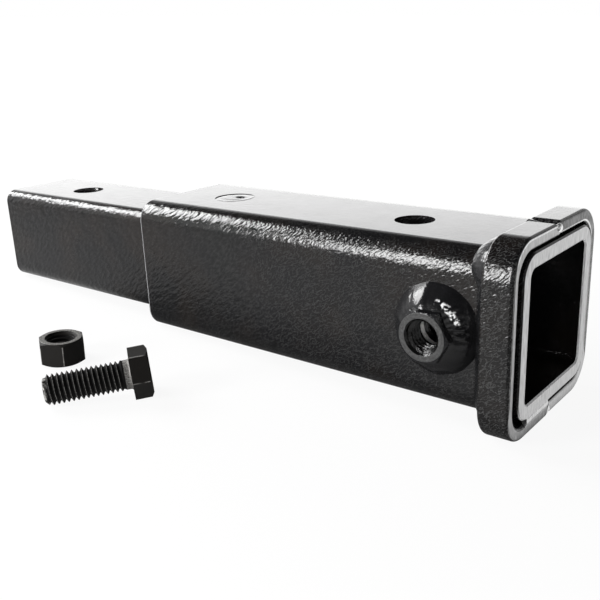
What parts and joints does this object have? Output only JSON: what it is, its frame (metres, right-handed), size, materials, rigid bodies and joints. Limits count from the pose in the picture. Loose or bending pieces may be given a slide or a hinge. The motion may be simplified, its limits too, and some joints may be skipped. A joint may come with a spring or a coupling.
{
  "type": "hitch receiver extender",
  "caption": "Square hitch shank welded into a longer receiver tube with a pin hole, a collared mouth and a welded side nut for an anti-rattle bolt.",
  "frame": {"origin": "centre of the receiver's pin hole, on the axis of the tubes", "axes": "+X along the tubes and out of the receiver's mouth, +Z along the pin holes and up as the extender lies, -Y out of the side with the welded nut"},
  "size_m": [0.322, 0.1566, 0.0773],
  "materials": {
    "black_paint": "glossy black powder coat with a fine hammered texture",
    "painted_weld": "glossy black powder coat over rippled weld bead",
    "black_oxide": "semi-matte black oxide, worn lighter on the edges"
  },
  "bodies": {
    "root": {"receiver_tube": "black_paint", "shank_tube": "black_paint", "collar_near_half": "black_paint", "collar_far_half": "black_paint", "collar_rear_weld": "painted_weld", "collar_seam_weld_top": "painted_weld", "collar_seam_weld_bottom": "painted_weld", "collar_front_stitch_weld": "painted_weld", "shank_weld": "painted_weld", "plug_weld_top": "painted_weld", "plug_weld_bottom": "painted_weld", "anti_rattle_nut": "black_paint", "nut_weld": "painted_weld", "anti_rattle_bolt": "black_oxide", "lock_nut": "black_oxide"}
  },
  "joints": []
}
